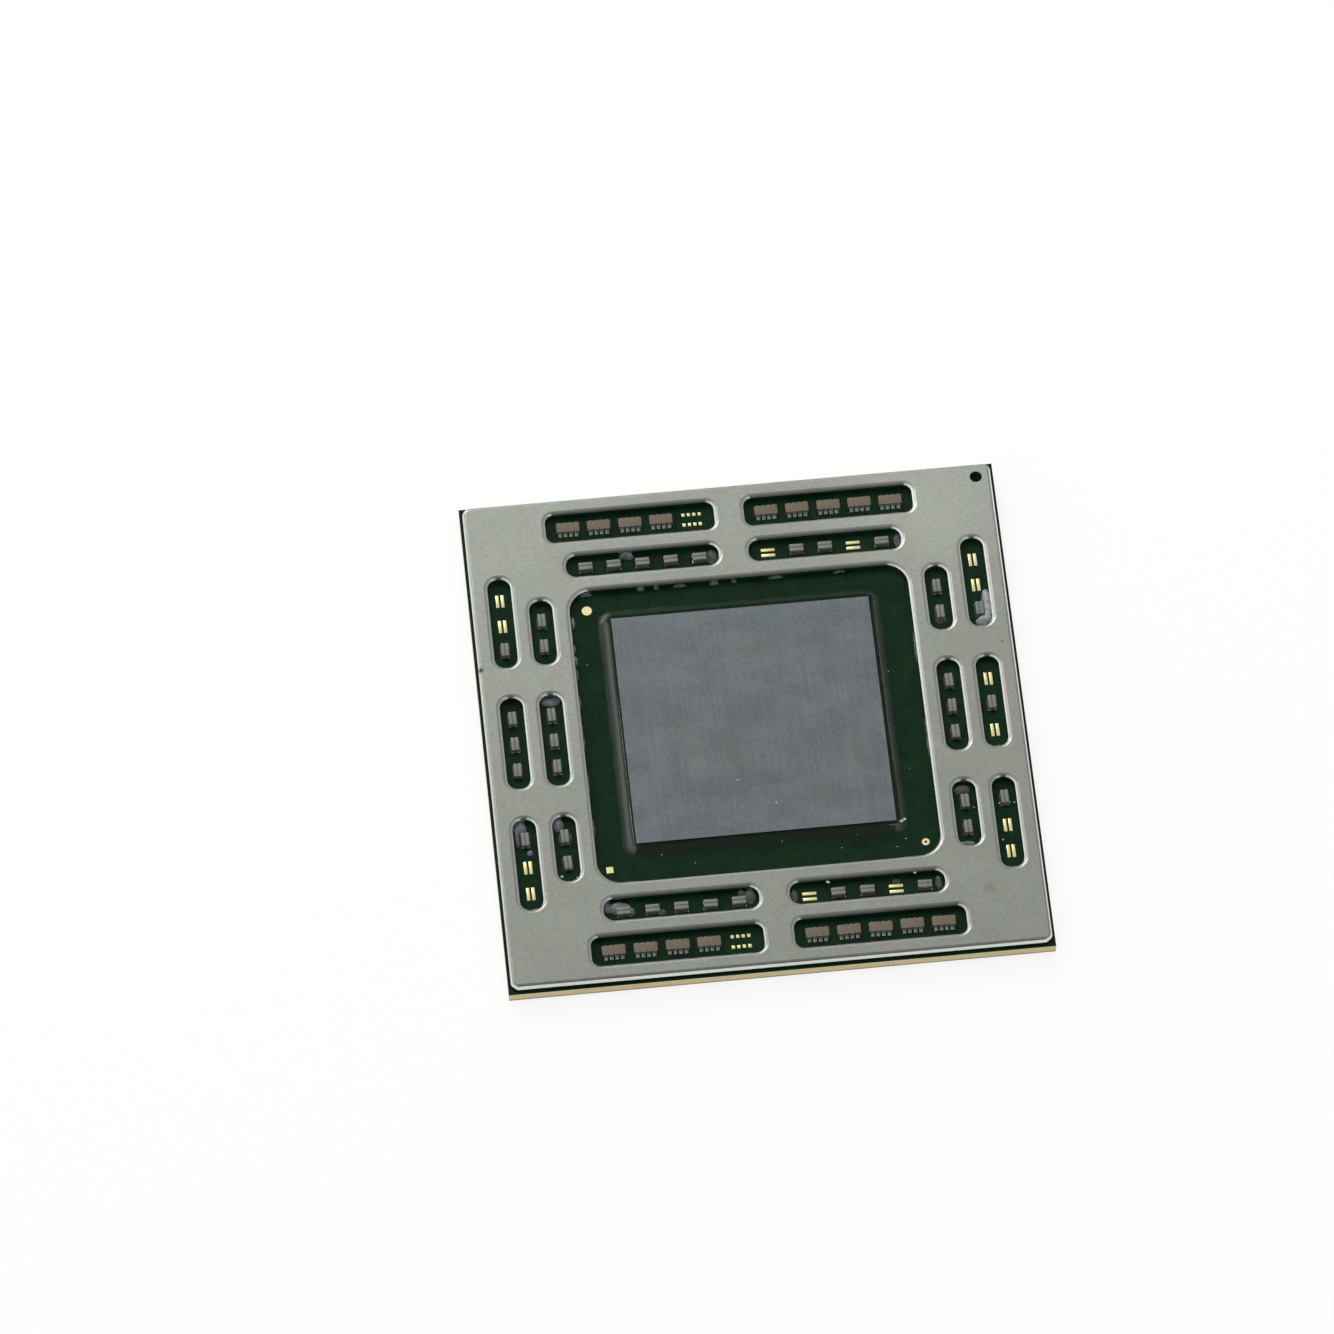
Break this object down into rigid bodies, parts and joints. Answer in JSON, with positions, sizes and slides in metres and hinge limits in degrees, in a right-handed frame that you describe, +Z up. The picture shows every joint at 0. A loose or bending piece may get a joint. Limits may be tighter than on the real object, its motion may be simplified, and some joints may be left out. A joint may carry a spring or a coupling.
{
  "type": "bga chip",
  "caption": "Square flip-chip ball grid array package: bare silicon die in the window of a slotted metal stiffener, chip capacitors in the slots, solder balls beneath.",
  "frame": {"origin": "centre of the square footprint on the plane that the solder balls rest on", "axes": "+Z up from the solder balls through the laminate to the bare die; +X and +Y along the sides of the square, with the pin-one corner at +X +Y"},
  "size_m": [0.0396, 0.0396, 0.0022],
  "materials": {
    "laminate": "cut glass-cloth laminate, matte tan",
    "solder_mask": "glossy very dark green solder mask",
    "nickel_plate": "satin nickel plate on a punched copper sheet",
    "adhesive": "dark cured film adhesive",
    "silicon": "ground back of a silicon die, satin violet grey",
    "underfill": "glossy dark epoxy fillet",
    "gold": "immersion gold",
    "array_ceramic": "matte brown-grey ceramic",
    "chip_ceramic": "matte grey ceramic",
    "tinned_terminal": "matte tin plate",
    "solder_fillet": "bright reflowed solder",
    "solder_ball": "bright reflowed solder"
  },
  "bodies": {
    "root": {"laminate": "laminate", "top_mask": "solder_mask", "bottom_mask": "solder_mask", "stiffener": "nickel_plate", "stiffener_adhesive": "adhesive", "silicon_die": "silicon", "die_bumps": "solder_fillet", "underfill": "underfill", "fiducials": "gold", "pin_one_mark": "gold", "lands_north": "gold", "lands_south": "gold", "lands_west": "gold", "lands_east": "gold", "array_caps_north": "array_ceramic", "array_caps_south": "array_ceramic", "array_terminals_north": "tinned_terminal", "array_terminals_south": "tinned_terminal", "chip_caps_north": "chip_ceramic", "chip_caps_south": "chip_ceramic", "chip_caps_west": "chip_ceramic", "chip_caps_east": "chip_ceramic", "chip_terminals_north": "tinned_terminal", "chip_terminals_south": "tinned_terminal", "chip_terminals_west": "tinned_terminal", "chip_terminals_east": "tinned_terminal", "solder_joints_north": "solder_fillet", "solder_joints_south": "solder_fillet", "solder_joints_west": "solder_fillet", "solder_joints_east": "solder_fillet", "balls_corners": "solder_ball", "balls_edge_north": "solder_ball", "balls_edge_south": "solder_ball", "balls_edge_west": "solder_ball", "balls_edge_east": "solder_ball", "balls_twin_north": "solder_ball", "balls_twin_south": "solder_ball", "balls_twin_west": "solder_ball", "balls_twin_east": "solder_ball", "balls_field_north": "solder_ball", "balls_field_south": "solder_ball", "balls_field_west": "solder_ball", "balls_field_east": "solder_ball", "balls_field_centre": "solder_ball"}
  },
  "joints": []
}
